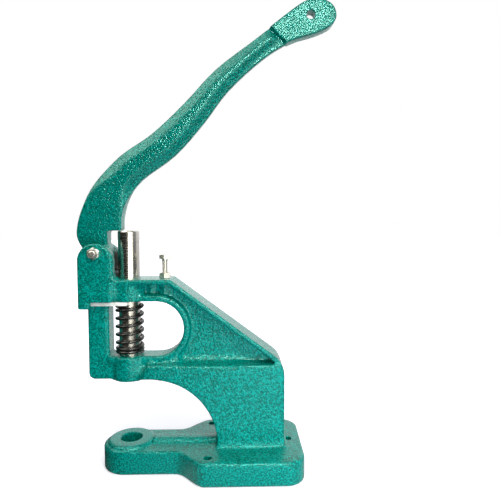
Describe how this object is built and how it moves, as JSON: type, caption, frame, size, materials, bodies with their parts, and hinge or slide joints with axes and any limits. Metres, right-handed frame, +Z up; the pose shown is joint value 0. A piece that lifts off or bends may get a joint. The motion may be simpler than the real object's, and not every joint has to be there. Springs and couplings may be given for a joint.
{
  "type": "snap setting press",
  "caption": "Hand lever press for setting snaps and eyelets: cast frame on a flat base, S-shaped lever, sprung steel ram over a die bore.",
  "frame": {"origin": "axis of the lower die bore at the bench face of the base", "axes": "+Z up along the ram and the die bore; +X from the ram back to the column; Y = 0 is the plane of symmetry of the casting"},
  "size_m": [0.2414, 0.093, 0.44],
  "materials": {
    "frame_paint": "hammertone teal-green enamel on cast iron",
    "lever_paint": "hammertone teal-green enamel on cast iron",
    "machined_steel": "turned and ground, lightly oiled",
    "plate_steel": "bare cut plate",
    "zinc_plated": "bright zinc plate",
    "spring_steel": "black oiled spring wire",
    "black_oxide": "black oxide",
    "nylon": "natural nylon"
  },
  "bodies": {
    "frame": {"frame_casting": "frame_paint", "pivot_bolt": "zinc_plated", "pivot_nut": "zinc_plated", "pivot_nut_insert": "nylon", "return_spring": "spring_steel"},
    "lever": {"lever": "lever_paint"},
    "ram": {"ram": "machined_steel", "ram_snap_ring": "black_oxide", "guide_plate": "plate_steel"},
    "stop_screw": {"stop_screw": "zinc_plated"},
    "lock_nut": {"stop_lock_nut": "zinc_plated"},
    "die_screw": {"die_set_screw": "black_oxide"}
  },
  "joints": [
    {"name": "lever_pivot", "type": "hinge", "parent": "frame", "child": "lever", "pos_m": [-0.027, 0, 0.2055], "axis": [0, 1, 0], "range_deg": [0, 46]},
    {"name": "ram_slide", "type": "slide", "parent": "frame", "child": "ram", "axis": [0, 0, -1], "range_m": [0, 0.0212], "stiffness_N_per_m": 11000, "springref_m": -0.008, "deforming": ["return_spring"]},
    {"name": "stop_screw_height", "type": "slide", "parent": "frame", "child": "stop_screw", "axis": [0, 0, 1], "range_m": [-0.01, 0.012]},
    {"name": "lock_nut_turn", "type": "hinge", "parent": "frame", "child": "lock_nut", "pos_m": [0.034, 0, 0.181], "axis": [0, 0, 1], "range_deg": [0, 180]},
    {"name": "die_screw_advance", "type": "slide", "parent": "frame", "child": "die_screw", "axis": [1, 0, 0], "range_m": [-0.002, 0.003]}
  ],
  "couplings": [
    {"joint": "ram_slide", "follows": "lever_pivot", "m_per_rad": 0.026406}
  ]
}
